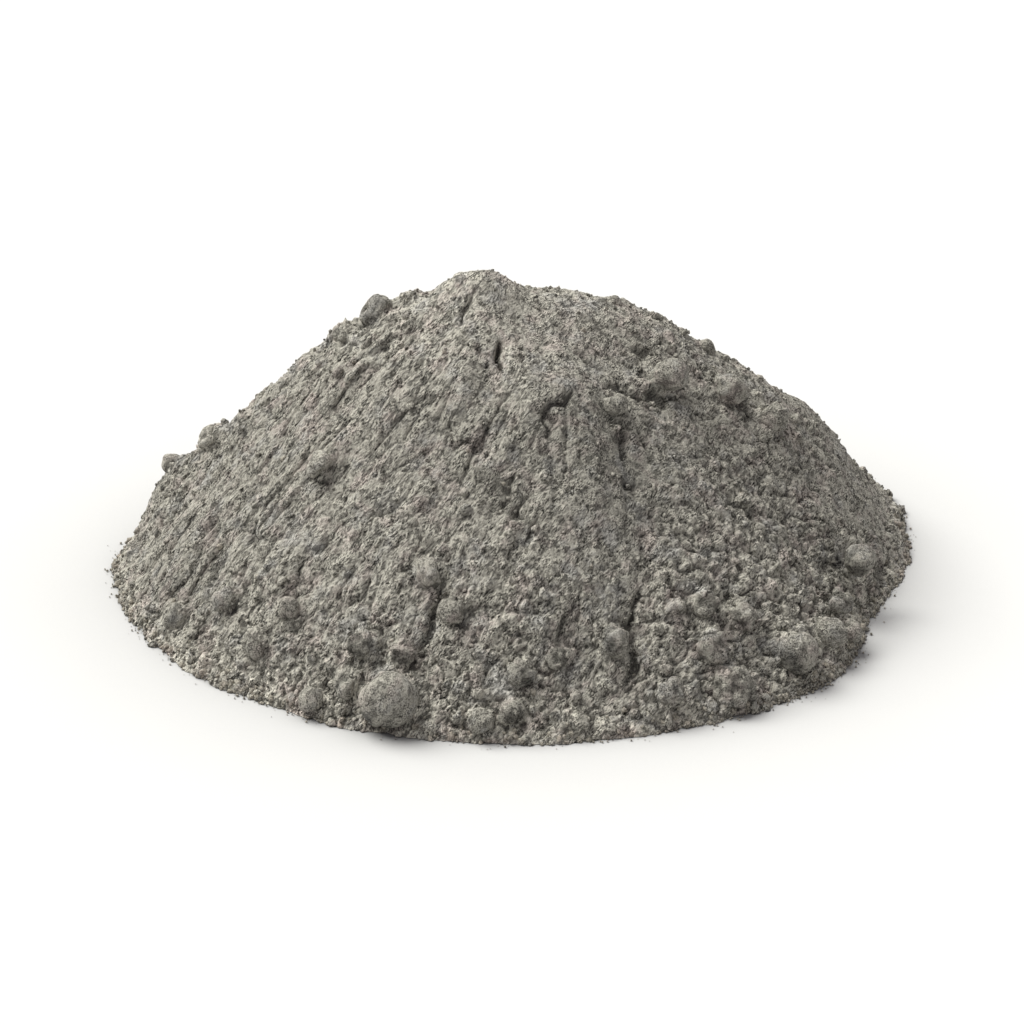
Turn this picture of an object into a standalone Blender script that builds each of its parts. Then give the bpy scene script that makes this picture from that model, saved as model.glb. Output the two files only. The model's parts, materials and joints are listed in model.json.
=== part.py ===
# A heap of loose grey skim coat powder on a level floor, with the caked balls and lumps that lie in it.
# Metres, +Z up. The origin is on the floor under the middle of the heap, and the heap's front faces -Y.

import bpy
import bmesh
import numpy as np
from mathutils import Matrix, Vector

MM = 0.001

# The crown lies a little left of the middle and behind it.
CROWN = (-11 * MM, 5 * MM)
CROWN_HEIGHT = 91 * MM

# Every 30 degrees round the crown, from +X by +Y: how far out the toe lies, in mm, and how full
# the flank is, where 1 is a straight cone and 2 a round dome.
TOE_REACH = (133, 144, 122, 112, 107, 104, 112, 109, 110, 115, 122, 131)
FULLNESS = (2.0, 1.7, 1.6, 1.7, 1.5, 1.55, 1.65, 1.5, 1.45, 1.45, 1.5, 1.5)

# Swells, and hollows with a height under 0: what it is, its middle x and y, its half length and
# half width, the bearing of its length in degrees, and its height. Lengths are in mm.
SWELLS = (
    ("apex knob", -10, 3, 10, 10, 0, 6.5),
    ("right side of the apex knob", -3, 4, 5, 6, 0, 1.8),
    ("lobe left of the crack", -15, -22, 12, 6, -106, 1.8),
    ("tongue right of the crack", 3, -33, 14, 6, -70, 2.2),
    ("shoulder left of the apex", -41, 10, 9, 8, 0, 0.8),
    ("left ridge", -101, 13, 13, 10, 20, 4.4),
    ("outer end of the left ridge", -110, 10, 7, 8, 0, 4.2),
    ("bulge low on the left flank", -68, -62, 10, 6, -130, 2.0),
    ("bulge on the left flank", -62, -38, 10, 5, -170, 1.4),
    ("hollow above the ledge", 33, -11, 14, 8, 20, -2.6),
    ("hollow further round the ledge", 56, 2, 14, 8, 40, -2.0),
    ("ledge near the crown", 30, -29, 13, 6, 15, 2.2),
    ("middle of the ledge", 52, -20, 13, 6, 20, 2.0),
    ("right end of the ledge", 76, -6, 12, 6, 50, 1.6),
    ("right shoulder", 93, 36, 14, 12, 0, 4.8),
    ("back right rise", 43, 24, 10, 9, 0, 2.2),
    ("second back right rise", 70, 30, 8, 7, 0, 2.0),
    ("bulge of the front", 3, -84, 13, 9, -90, 2.0),
    ("bulge left of the front", -31, -66, 14, 6, -120, 1.6),
    ("gully down the front right", 33, -86, 13, 3.5, -95, -2.0),
    ("gully left of the front bulge", -24, -88, 10, 3.5, -125, -2.0),
    ("bulge of the right toe", 86, -66, 13, 9, 40, 1.6),
)

# Steps in the slope: what it is, the points along its foot with the higher side on their left, the
# half width over which it falls, and its height. Lengths are in mm.
STEPS = (
    ("right front fold", ((32, -90), (25, -79), (26, -64), (31, -51), (25, -38), (21, -18)), 12, 4.0),
    ("scarp above the ledge", ((19, -26), (32, -19), (45, -17), (53, -12), (64, -3)), 7, 2.6),
    ("scarp of the tongue", ((6, -54), (9, -45), (14, -37), (20, -30)), 6, 2.4),
    ("scarp of the front bulge", ((0, -101), (10, -95), (16, -86), (15, -76)), 6, 2.4),
    ("scarp low on the left flank", ((-65, -76), (-61, -66), (-59, -56)), 6, 2.4),
    ("scarp on the left flank", ((-56, -54), (-54, -41), (-47, -37)), 5, 1.8),
    ("foot of the left ridge", ((-100, -4), (-86, -1), (-70, 1)), 5, -1.8),
    ("terrace on the right", ((56, -45), (72, -35), (85, -24), (95, -16)), 6, 2.0),
    ("lower terrace on the right", ((89, -37), (99, -25), (107, -11)), 5, 2.4),
    ("scarp over the right toe", ((100, -41), (110, -21), (117, 2)), 7, 5.0),
)

# Streaks that run down the slopes: their spacing in mm, how much longer than wide they are, their
# height in mm, the bearing where they are highest and how far round it, in degrees, and the seed.
# On the front they slant to the left: the bearing where they slant most, how far round it, and by
# how much, all in degrees.
STREAK_SPACING, STREAK_STRETCH, STREAK_HEIGHT = 5.5, 3, 1.7
STREAK_BEARING, STREAK_SPREAD, STREAK_SEED = 200, 60, 6
SLANT_BEARING, SLANT_SPREAD, SLANT = 280, 50, 34
STREAK_TURNS = 12

# Uneven slopes: the spacing of the bumps and their height in mm, and the seed of their pattern.
ROUGHNESS = ((24, 1.3, 3), (11, 0.8, 4), (7, 0.55, 5))
LATTICE_CELLS = 32
TOE_FADE = 0.12  # the share of the way in from the toe over which the relief grows to full height

GRID_CELLS = 62  # across the heap each way, so a cell is about 4 mm wide

# Caked lumps: name, finish, middle x and y, length, width, height, bearing of the length in
# degrees, and how far the lump's middle stands above the powder. Lengths are in mm.
LUMPS = (
    ("front_ball", "caked_ball", -34, -101.5, 15.7, 15.2, 15.0, 20, 2.2),
    ("left_edge_ball", "caked_ball", -105, 14, 7.8, 7.4, 7.2, 0, 2.6),
    ("ledge_ball", "caked_ball", 47, -14, 11.2, 10.4, 9.4, 40, 2.4),
    ("right_flank_ball", "caked_ball", 103, -30, 10.8, 10.2, 9.6, 70, 2.2),
    ("right_toe_ball", "caked_ball", 80.5, -74, 14.0, 12.4, 11.4, 30, 1.6),
    ("right_toe_second_ball", "caked_ball", 91.5, -62, 10.2, 9.6, 9.0, 50, 1.4),
    ("right_toe_small_ball", "caked_ball", 98.5, -55.5, 6.4, 6.2, 5.4, 0, 0.8),
    ("front_right_lump", "caked_lump", 62, -89.5, 12.4, 10.6, 9.6, 15, 1.5),
    ("front_right_small_lump", "caked_lump", 44, -97, 7.4, 7.0, 6.2, 0, 1.6),
    ("front_right_upper_lump", "caked_lump", 56, -84, 8.4, 7.8, 7.4, 60, 1.9),
    ("right_pair_left_lump", "caked_lump", 55, -74, 8.6, 7.8, 7.6, 30, 1.9),
    ("right_pair_right_lump", "caked_lump", 65, -73, 8.4, 7.6, 7.4, -40, 1.9),
    ("right_flank_lower_lump", "caked_lump", 95, -49.5, 7.6, 7.0, 6.6, 40, 1.4),
    ("gully_edge_lump", "caked_lump", 28, -89, 10.0, 7.8, 7.2, -80, 1.5),
    ("ledge_block", "caked_lump", 65, -2, 11.0, 9.0, 8.6, -20, 1.6),
    ("ledge_end_lump", "caked_lump", 79, -1, 9.2, 8.0, 7.4, 40, 1.4),
    ("ledge_small_lump", "caked_lump", 30, -30, 6.0, 5.4, 5.2, 0, 1.0),
    ("skyline_right_lump", "caked_lump", 31, 17, 5.2, 4.8, 4.6, 0, -0.6),
    ("skyline_far_lump", "caked_lump", 59, 24, 6.4, 6.0, 5.4, 30, -1.2),
    ("skyline_small_lump", "caked_lump", 20, 10, 4.6, 4.2, 4.0, 0, -0.6),
    ("top_left_lump", "caked_lump", -41, 6, 10.4, 9.4, 9.0, 10, 1.6),
    ("top_left_small_lump", "caked_lump", -30, 6, 5.2, 4.8, 4.6, 0, -0.6),
    ("top_left_lower_lump", "caked_lump", -51, 5, 7.0, 6.4, 5.8, -30, 0.8),
    ("left_ridge_lump", "caked_lump", -91, 8, 10.2, 9.2, 9.0, 15, 0.4),
    ("left_ridge_small_lump", "caked_lump", -82, 4, 6.0, 5.4, 5.2, 0, -0.6),
    ("left_middle_lump", "caked_lump", -56, -39, 6.4, 5.6, 5.2, -120, 0.9),
    ("left_low_lump", "caked_lump", -82, -58, 7.6, 6.4, 6.2, -140, 1.5),
    ("left_toe_lump", "caked_lump", -98, -50, 8.4, 7.4, 6.6, -150, 1.8),
    ("left_front_lump", "caked_lump", -73, -74, 7.8, 6.8, 6.6, -130, 1.2),
    ("left_front_upper_lump", "caked_lump", -63, -72, 6.6, 5.8, 5.6, -120, 1.0),
    ("front_left_ball", "caked_ball", -56, -94, 7.8, 7.4, 7.2, 0, 2.2),
    ("beside_front_ball_lump", "caked_lump", -46, -94, 8.0, 7.0, 6.6, -110, 1.6),
    ("above_front_ball_left_lump", "caked_lump", -42, -88, 9.2, 8.2, 8.0, 30, 2.0),
    ("above_front_ball_right_lump", "caked_lump", -31, -92, 7.4, 6.2, 6.0, -60, 1.5),
    ("front_middle_upper_lump", "caked_lump", -23, -76, 10.4, 7.8, 7.2, -75, 0.9),
    ("front_middle_lower_lump", "caked_lump", -17, -85, 7.8, 6.4, 6.2, -70, 1.1),
    ("front_centre_upper_lump", "caked_lump", 3, -98, 7.8, 7.2, 6.8, 20, 1.7),
    ("front_centre_lump", "caked_lump", 0, -106, 7.6, 7.0, 6.6, 0, 1.7),
    ("front_centre_left_lump", "caked_lump", -9, -107, 6.8, 6.2, 5.8, 30, 1.5),
    ("front_bulge_lump", "caked_lump", 13, -94, 7.4, 6.6, 6.2, -80, 1.2),
)

SOCKET_GAP = 0.35 * MM  # between a lump and the powder that it lies in
FLOOR_GAP = 1.0 * MM  # the powder left under the lowest lump
FINE_LUMP = 12 * MM  # a lump this long gets smaller facets
DENT_WAVES = 5  # the waves that are added up to dent a lump
DENT_TURN = 4  # the radians that each wave turns from a lump's middle to its skin
DENT_DEPTH = 0.07  # as a share of the lump's radius

# Colours in linear light, and roughness, of each finish. Nothing here is metal.
FINISHES = {
    "loose_powder": ((0.235, 0.225, 0.204, 1), 0.95),
    "caked_lump": ((0.235, 0.226, 0.208, 1), 0.93),
    "caked_ball": ((0.262, 0.250, 0.232, 1), 0.90),
}


def clear_scene():
    for obj in list(bpy.data.objects):
        bpy.data.objects.remove(obj)


def new_collection(name):
    made = bpy.data.collections.new(name)
    bpy.context.scene.collection.children.link(made)
    return made


def new_finish(name):
    colour, roughness = FINISHES[name]
    finish = bpy.data.materials.new(name)
    finish.use_nodes = True
    shader = finish.node_tree.nodes["Principled BSDF"]
    shader.inputs["Base Color"].default_value = colour
    shader.inputs["Roughness"].default_value = roughness
    shader.inputs["Metallic"].default_value = 0
    finish.diffuse_color = colour
    return finish


def around(values, bearing):
    """A smooth closed curve through values that stand at even bearings round the crown."""
    count = len(values)
    place = (bearing / (2 * np.pi)) % 1.0 * count
    step = np.floor(place).astype(int)
    t = place - step
    rim = np.asarray(values, float)
    a, b = rim[(step - 1) % count], rim[step % count]
    c, d = rim[(step + 1) % count], rim[(step + 2) % count]
    cubic = (3 * b - a - 3 * c + d) * t**3
    return 0.5 * (2 * b + (c - a) * t + (2 * a - 5 * b + 4 * c - d) * t**2 + cubic)


def lattice_noise(x, y, spacing, seed):
    """Values from -1 to 1 at the corners of a square lattice, blended smoothly between them."""
    corners = np.random.default_rng(seed).uniform(-1, 1, (LATTICE_CELLS, LATTICE_CELLS))
    i = np.floor(x / spacing).astype(int)
    j = np.floor(y / spacing).astype(int)
    u = x / spacing - i
    v = y / spacing - j
    u = u**3 * (u * (6 * u - 15) + 10)
    v = v**3 * (v * (6 * v - 15) + 10)

    def corner(a, b):
        return corners[a % LATTICE_CELLS, b % LATTICE_CELLS]

    near = corner(i, j) * (1 - u) + corner(i + 1, j) * u
    far = corner(i, j + 1) * (1 - u) + corner(i + 1, j + 1) * u
    return near * (1 - v) + far * v


def swell(x, y, middle_x, middle_y, half_length, half_width, bearing):
    """A rounded bump of height 1 with an oval plan."""
    turn = np.radians(bearing)
    dx = x - middle_x * MM
    dy = y - middle_y * MM
    along = (np.cos(turn) * dx + np.sin(turn) * dy) / (half_length * MM)
    across = (np.cos(turn) * dy - np.sin(turn) * dx) / (half_width * MM)
    return np.exp(-(along**2) - across**2)


def step(x, y, path, half_width):
    """A step along a path, which rises on its left, falls on its right and dies out at both ends."""
    corners = np.array(path) * MM
    runs = np.diff(corners, axis=0)
    lengths = np.hypot(*runs.T)
    passed = np.cumsum(lengths) - lengths
    nearest = np.inf
    beside = 0
    along = 0
    for (start_x, start_y), (run_x, run_y), length, before in zip(corners, runs, lengths, passed):
        share = ((x - start_x) * run_x + (y - start_y) * run_y) / length**2
        share = np.clip(share, 0, 1)
        off_x = x - start_x - share * run_x
        off_y = y - start_y - share * run_y
        away = np.hypot(off_x, off_y)
        signed = np.where(run_x * off_y < run_y * off_x, -away, away)
        beside = np.where(away < nearest, signed, beside)
        along = np.where(away < nearest, before + share * length, along)
        nearest = np.minimum(nearest, away)
    along = along / lengths.sum()
    ends = np.clip(3 * np.minimum(along, 1 - along), 0, 1)
    out = beside / (half_width * MM)
    return ends * out * np.exp(-(out**2))


def near_bearing(bearing, middle, spread):
    """1 at the middle bearing and less to both sides. The bearing is in radians, the rest in degrees."""
    away = (np.degrees(bearing) - middle + 180) % 360 - 180
    return np.exp(-((away / spread) ** 2))


def streaks(x, y, bearing, way_out):
    """Ridges down the slope: noise turned to each of twelve bearings and drawn out along it."""
    downhill = bearing - np.radians(SLANT) * near_bearing(bearing, SLANT_BEARING, SLANT_SPREAD)
    ridges = 0
    for number in range(STREAK_TURNS):
        turn = 2 * np.pi * number / STREAK_TURNS
        off = (downhill - turn + np.pi) % (2 * np.pi) - np.pi
        share = np.cos(np.clip(off * STREAK_TURNS / 4, -np.pi / 2, np.pi / 2)) ** 2
        along = (x * np.cos(turn) + y * np.sin(turn)) / STREAK_STRETCH
        across = y * np.cos(turn) - x * np.sin(turn)
        ridges = ridges + share * lattice_noise(along, across, STREAK_SPACING * MM, STREAK_SEED)
    strength = 0.3 + 0.7 * near_bearing(bearing, STREAK_BEARING, STREAK_SPREAD)
    return ridges * strength * np.clip(5 * way_out, 0, 1)


def powder_height(x, y):
    """The height of the powder over a point of the floor. It is 0 at the toe and under 0 outside it."""
    dx = x - CROWN[0]
    dy = y - CROWN[1]
    bearing = np.arctan2(dy, dx)
    way_out = np.hypot(dx, dy) / (around(TOE_REACH, bearing) * MM)
    height = CROWN_HEIGHT * (1 - way_out ** around(FULLNESS, bearing))
    relief = STREAK_HEIGHT * MM * streaks(x, y, bearing, way_out)
    for _, middle_x, middle_y, half_length, half_width, turn, rise in SWELLS:
        relief = relief + rise * MM * swell(x, y, middle_x, middle_y, half_length, half_width, turn)
    for _, path, half_width, rise in STEPS:
        relief = relief + rise * MM * step(x, y, path, half_width)
    for spacing, depth, seed in ROUGHNESS:
        relief = relief + depth * MM * lattice_noise(x, y, spacing * MM, seed)
    return height + relief * np.clip((1 - way_out) / TOE_FADE, 0, 1)


def powder_normal(x, y):
    """The direction that the slope faces, from the height 3 mm to each side."""
    reach = 3 * MM
    slope_x = (powder_height(x + reach, y) - powder_height(x - reach, y)) / (2 * reach)
    slope_y = (powder_height(x, y + reach) - powder_height(x, y - reach)) / (2 * reach)
    return Vector((-slope_x, -slope_y, 1)).normalized()


def plan_of_grid(across, along):
    """Takes a point of a square from -1 to 1 to the heap's round plan, the square's rim to the toe."""
    u = across * np.sqrt(1 - along**2 / 2)
    v = along * np.sqrt(1 - across**2 / 2)
    way_out = np.hypot(u, v)
    bearing = np.arctan2(v, u)
    reach = around(TOE_REACH, bearing) * MM
    x = CROWN[0] + way_out * reach * np.cos(bearing)
    y = CROWN[1] + way_out * reach * np.sin(bearing)
    return x, y


def build_heap(collection, finish):
    mesh = bpy.data.meshes.new("powder_heap")
    bm = bmesh.new()
    bmesh.ops.create_grid(bm, x_segments=GRID_CELLS, y_segments=GRID_CELLS, size=1)
    flat = np.array([vertex.co[:2] for vertex in bm.verts])
    x, y = plan_of_grid(flat[:, 0], flat[:, 1])
    z = powder_height(x, y)
    for vertex, place in zip(bm.verts, np.stack((x, y, z), axis=1)):
        vertex.co = place
    rim = [edge for edge in bm.edges if edge.is_boundary]
    for edge in rim:
        for vertex in edge.verts:
            vertex.co.z = 0
    bmesh.ops.holes_fill(bm, edges=rim)
    bmesh.ops.recalc_face_normals(bm, faces=bm.faces)
    bm.to_mesh(mesh)
    bm.free()
    mesh.shade_smooth()
    mesh.set_sharp_from_angle(angle=np.radians(60))
    mesh.materials.append(finish)
    heap = bpy.data.objects.new("powder_heap", mesh)
    collection.objects.link(heap)
    return heap


def dent(direction, seed):
    """How far a lump's skin stands in or out in a direction, as a share of its radius."""
    rng = np.random.default_rng(seed)
    waves = rng.normal(0, 1, (DENT_WAVES, 3))
    waves *= DENT_TURN / np.linalg.norm(waves, axis=1, keepdims=True)
    phases = rng.uniform(0, 2 * np.pi, DENT_WAVES)
    return DENT_DEPTH * np.cos(waves @ direction + phases).mean()


def lump_mesh(name, size, seed):
    """A rounded lump about its own middle, and the share by which its socket is larger."""
    bm = bmesh.new()
    facets = 3 if size[0] >= FINE_LUMP else 2
    bmesh.ops.create_icosphere(bm, subdivisions=facets, radius=0.5)
    for vertex in bm.verts:
        vertex.co *= 1 + dent(np.array(vertex.co.normalized()), seed)
        vertex.co = [side * part for side, part in zip(size, vertex.co)]
    bm.normal_update()
    nearest_face = min(face.normal.dot(face.verts[0].co) for face in bm.faces)
    mesh = bpy.data.meshes.new(name)
    bm.to_mesh(mesh)
    bm.free()
    mesh.shade_smooth()
    return mesh, 1 + SOCKET_GAP / nearest_face


def lump_place(mesh, x, y, bearing, rise):
    """The lump lies on the slope, its length along the bearing, and clear of the floor."""
    up = powder_normal(x, y)
    turn = np.radians(bearing)
    side = up.cross(Vector((np.cos(turn), np.sin(turn), 0))).normalized()
    length = side.cross(up)
    lie = Matrix((length, side, up)).transposed().to_4x4()
    middle = Vector((x, y, powder_height(x, y) + rise))
    lowest = min((lie @ vertex.co).z for vertex in mesh.vertices)
    middle.z = max(middle.z, FLOOR_GAP - lowest)
    return Matrix.Translation(middle) @ lie


def build_lump(row, seed, collection, cutters, finishes):
    name, finish, x, y, length, width, height, bearing, rise = row
    size = (length * MM, width * MM, height * MM)
    mesh, socket_share = lump_mesh(name, size, seed)
    mesh.materials.append(finishes[finish])
    place = lump_place(mesh, x * MM, y * MM, bearing, rise * MM)
    lump = bpy.data.objects.new(name, mesh)
    lump.matrix_world = place
    collection.objects.link(lump)
    socket_mesh = mesh.copy()
    socket_mesh.transform(Matrix.Scale(socket_share, 4))
    socket = bpy.data.objects.new(name + "_socket", socket_mesh)
    socket.matrix_world = place
    socket.hide_render = True
    socket.display_type = "WIRE"
    cutters.objects.link(socket)


def cut_sockets(heap, cutters):
    sockets = heap.modifiers.new("sockets", "BOOLEAN")
    sockets.operation = "DIFFERENCE"
    sockets.operand_type = "COLLECTION"
    sockets.collection = cutters
    sockets.solver = "EXACT"


clear_scene()
parts = new_collection("heap_of_skim_coat_powder")
cutters = new_collection("cutters")
finishes = {name: new_finish(name) for name in FINISHES}
heap = build_heap(parts, finishes["loose_powder"])
for number, row in enumerate(LUMPS):
    build_lump(row, number, parts, cutters, finishes)
cut_sockets(heap, cutters)
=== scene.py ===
# Looks for a heap of loose grey skim coat powder: its crumbly skin, the caked balls and lumps that lie
# in it, loose crumbs and grains, a white floor, soft light and the camera. Metres, +Z up, front to -Y.
import json

import bmesh
import bpy
import numpy as np
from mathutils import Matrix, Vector


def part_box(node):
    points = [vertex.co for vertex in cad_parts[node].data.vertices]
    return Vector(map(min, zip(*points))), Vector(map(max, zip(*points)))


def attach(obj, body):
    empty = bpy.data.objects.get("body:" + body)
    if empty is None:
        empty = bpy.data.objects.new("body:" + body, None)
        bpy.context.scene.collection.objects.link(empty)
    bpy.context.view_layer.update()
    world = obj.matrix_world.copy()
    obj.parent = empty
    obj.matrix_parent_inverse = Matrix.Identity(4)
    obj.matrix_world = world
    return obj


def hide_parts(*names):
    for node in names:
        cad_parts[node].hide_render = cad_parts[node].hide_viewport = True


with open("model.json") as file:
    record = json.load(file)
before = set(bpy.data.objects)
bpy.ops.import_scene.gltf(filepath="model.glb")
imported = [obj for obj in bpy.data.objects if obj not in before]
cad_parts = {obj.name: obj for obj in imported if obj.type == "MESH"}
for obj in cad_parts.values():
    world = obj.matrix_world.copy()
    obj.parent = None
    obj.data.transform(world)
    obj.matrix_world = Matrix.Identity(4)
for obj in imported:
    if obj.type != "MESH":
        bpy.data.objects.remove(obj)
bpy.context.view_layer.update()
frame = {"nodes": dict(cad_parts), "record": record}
mm = 0.001
print("frame loaded:", len(frame["nodes"]), "nodes")

# The photo's view: a long lens, looking along +Y and down on the heap.
photoView = {
    "lensMm": 100,
    "sensorMm": 36,
    "clip": (0.01, 50),
    "distance": 0.87,
    "elevation": 24,
    "aim": (0, 0, 0.020),
}


def addCamera(view):
    # The camera looks at the aim from the distance, back along (0, -cos(elevation), sin(elevation)).
    lens = bpy.data.cameras.new("photoCamera")
    lens.lens = view["lensMm"]
    lens.sensor_width = view["sensorMm"]
    lens.clip_start, lens.clip_end = view["clip"]
    camera = bpy.data.objects.new("photoCamera", lens)
    down = np.radians(view["elevation"])
    back = Vector((0, -np.cos(down), np.sin(down)))
    camera.location = Vector(view["aim"]) + back * view["distance"]
    camera.rotation_euler = (-back).to_track_quat("-Z", "Y").to_euler()
    bpy.context.scene.collection.objects.link(camera)
    bpy.context.scene.camera = camera


addCamera(photoView)

# The heap's form, which is the frame's apart from the toe's dents and the fine swells: a crown, the way
# out to the toe every 30 degrees from +X by +Y, and how full each flank is, where 1 is a straight cone
# and 2 a round dome. Swells are middle x and y, half length, half width, bearing of the length and
# height. Steps are the points along the foot, with the higher side on their left, the half width and the
# height. Lengths are in mm.
heapForm = {
    "crown": (-11, 5),
    "crownHeight": 91,
    "toeReach": (133, 144, 122, 112, 107, 104, 112, 109, 110, 115, 122, 131),
    "fullness": (2.0, 1.7, 1.6, 1.7, 1.5, 1.55, 1.65, 1.5, 1.45, 1.45, 1.5, 1.5),
    "toeFade": 0.12,
    "toeDents": ((-19, 12, 8.0), (3, 5, -1.6), (15, 9, -1.4), (192, 12, 1.0)),  # bearing, spread, depth
    "swells": (
        (-10, 3, 10, 10, 0, 6.5),  # apex knob and its right side
        (-3, 4, 5, 6, 0, 1.8),
        (-15, -22, 12, 6, -106, 1.8),  # lobe left of the crack
        (3, -33, 14, 6, -70, 2.2),  # tongue right of the crack
        (-41, 10, 9, 8, 0, 0.8),  # shoulder left of the apex
        (-101, 13, 13, 10, 20, 4.4),  # left ridge and its outer end
        (-110, 10, 7, 8, 0, 4.2),
        (-68, -62, 10, 6, -130, 2.0),  # bulges on the left flank
        (-62, -38, 10, 5, -170, 1.4),
        (33, -11, 14, 8, 20, -2.6),  # hollows above the ledge
        (56, 2, 14, 8, 40, -2.0),
        (30, -29, 13, 6, 15, 2.2),  # ledge, from the crown to the right
        (52, -20, 13, 6, 20, 2.0),
        (76, -6, 12, 6, 50, 1.6),
        (93, 36, 14, 12, 0, 4.8),  # right shoulder
        (43, 24, 10, 9, 0, 2.2),  # rises on the back right
        (70, 30, 8, 7, 0, 2.0),
        (3, -84, 13, 9, -90, 2.0),  # bulges of the front
        (-31, -66, 14, 6, -120, 1.6),
        (33, -86, 13, 3.5, -95, -2.0),  # gullies on the right and the left of them
        (-24, -88, 10, 3.5, -125, -2.0),
        (86, -66, 13, 9, 40, 1.6),  # bulge of the right toe
    ),
    "fineSwells": (  # lumps and notches of the skyline, too small for the frame
        (-31, 8, 3, 4, 0, 1.7),
        (-37, 8, 2.5, 4, 0, -1.2),
        (-24.5, 8, 2.6, 5, 0, -1.8),
        (60, 24, 3, 8, 0, -1.6),
    ),
    "steps": (
        (((32, -90), (25, -79), (26, -64), (31, -51), (25, -38), (21, -18)), 12, 4.0),  # right front fold
        (((19, -26), (32, -19), (45, -17), (53, -12), (64, -3)), 7, 2.6),  # scarp above the ledge
        (((6, -54), (9, -45), (14, -37), (20, -30)), 6, 2.4),  # scarp of the tongue
        (((0, -101), (10, -95), (16, -86), (15, -76)), 6, 2.4),  # scarp of the front bulge
        (((-65, -76), (-61, -66), (-59, -56)), 6, 2.4),  # scarps on the left flank
        (((-56, -54), (-54, -41), (-47, -37)), 5, 1.8),
        (((-100, -4), (-86, -1), (-70, 1)), 5, -1.8),  # foot of the left ridge
        (((56, -45), (72, -35), (85, -24), (95, -16)), 6, 2.0),  # terraces on the right
        (((89, -37), (99, -25), (107, -11)), 5, 2.4),
        (((100, -41), (110, -21), (117, 2)), 7, 5.0),  # scarp over the right toe
    ),
    # Ridges down the slopes: spacing, how much longer than wide, height and seed. They are highest at one
    # bearing, and about another they slant off to the left. All bearings and spreads are in degrees.
    "streaks": {"spacing": 5.5, "stretch": 3, "height": 1.7, "spread": 60, "seed": 6},
    "streakTurns": 12,
    "streakBearing": 200,
    "streakWeakest": 0.3,  # the share of their height that is left on the far side
    "slant": (280, 50, 34),  # its bearing, spread and angle
    "roughness": ((24, 1.3, 3), (11, 0.8, 4), (7, 0.55, 5)),  # uneven slopes: spacing, height and seed
    "latticeCells": 32,
}


def around(values, bearing):
    # A closed curve through evenly spaced values: between two of them it is the cubic that also follows
    # the neighbour on each side, 0.5 (2b + (c - a) t + (2a - 5b + 4c - d) t^2 + (3b - a - 3c + d) t^3).
    rim = np.asarray(values, float)
    place = (bearing / (2 * np.pi)) % 1.0 * len(rim)
    step = np.floor(place).astype(int)
    t = place - step
    a, b, c, d = (rim[(step + shift) % len(rim)] for shift in (-1, 0, 1, 2))
    curve = 2 * b + (c - a) * t + (2 * a - 5 * b + 4 * c - d) * t**2
    return 0.5 * (curve + (3 * b - a - 3 * c + d) * t**3)


def bell(t):
    # The bell curve exp(-t^2).
    return np.exp(-(t**2))


def nearBearing(bearing, middle, spread):
    # A bell curve of the angle away from the middle bearing, over the spread.
    away = (np.degrees(bearing) - middle + 180) % 360 - 180
    return bell(away / spread)


def toeAt(bearing):
    # The toe's reach on a bearing, less the bell curves of its dents.
    rows = heapForm["toeDents"]
    dents = sum(depth * nearBearing(bearing, middle, spread) for middle, spread, depth in rows)
    return (around(heapForm["toeReach"], bearing) - dents) * mm


def fromCrown(distance, bearing):
    # The place at a distance from the crown: x + distance cos(bearing), y + distance sin(bearing).
    x = heapForm["crown"][0] * mm + distance * np.cos(bearing)
    y = heapForm["crown"][1] * mm + distance * np.sin(bearing)
    return x, y


def planNoise(x, y, spacing, seed):
    # Values from -1 to 1 at the corners of a square lattice, blended by 6t^5 - 15t^4 + 10t^3.
    count = heapForm["latticeCells"]
    corners = np.random.default_rng(seed).uniform(-1, 1, (count, count))
    i, j = np.floor(x / spacing).astype(int), np.floor(y / spacing).astype(int)
    u, v = x / spacing - i, y / spacing - j
    u, v = (t**3 * (t * (6 * t - 15) + 10) for t in (u, v))
    near = corners[i % count, j % count] * (1 - u) + corners[(i + 1) % count, j % count] * u
    far = corners[i % count, (j + 1) % count] * (1 - u) + corners[(i + 1) % count, (j + 1) % count] * u
    return near * (1 - v) + far * v


def wayOut(x, y):
    # 0 at the crown and 1 at the toe: the distance from the crown over the toe's reach on that bearing.
    dx, dy = x - heapForm["crown"][0] * mm, y - heapForm["crown"][1] * mm
    bearing = np.arctan2(dy, dx)
    return np.hypot(dx, dy) / toeAt(bearing), bearing


def besidePath(x, y, path):
    # The distance to the nearest stretch of the path, + on its left and - on its right, and a fade that
    # runs from 0 at both ends to 1 over the middle third.
    corners = np.array(path) * mm
    runs = np.diff(corners, axis=0)
    lengths = np.hypot(*runs.T)
    nearest, beside, along, passed = np.full(x.shape, np.inf), np.zeros(x.shape), np.zeros(x.shape), 0
    for start, run, length in zip(corners, runs, lengths):
        share = np.clip(((x - start[0]) * run[0] + (y - start[1]) * run[1]) / length**2, 0, 1)
        dx, dy = x - start[0] - share * run[0], y - start[1] - share * run[1]
        away = np.hypot(dx, dy)
        signed = np.where(run[0] * dy < run[1] * dx, -away, away)
        beside = np.where(away < nearest, signed, beside)
        along = np.where(away < nearest, passed + share * length, along)
        nearest = np.minimum(nearest, away)
        passed = passed + length
    return beside, np.clip(3 * np.minimum(along, passed - along) / passed, 0, 1)


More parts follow.
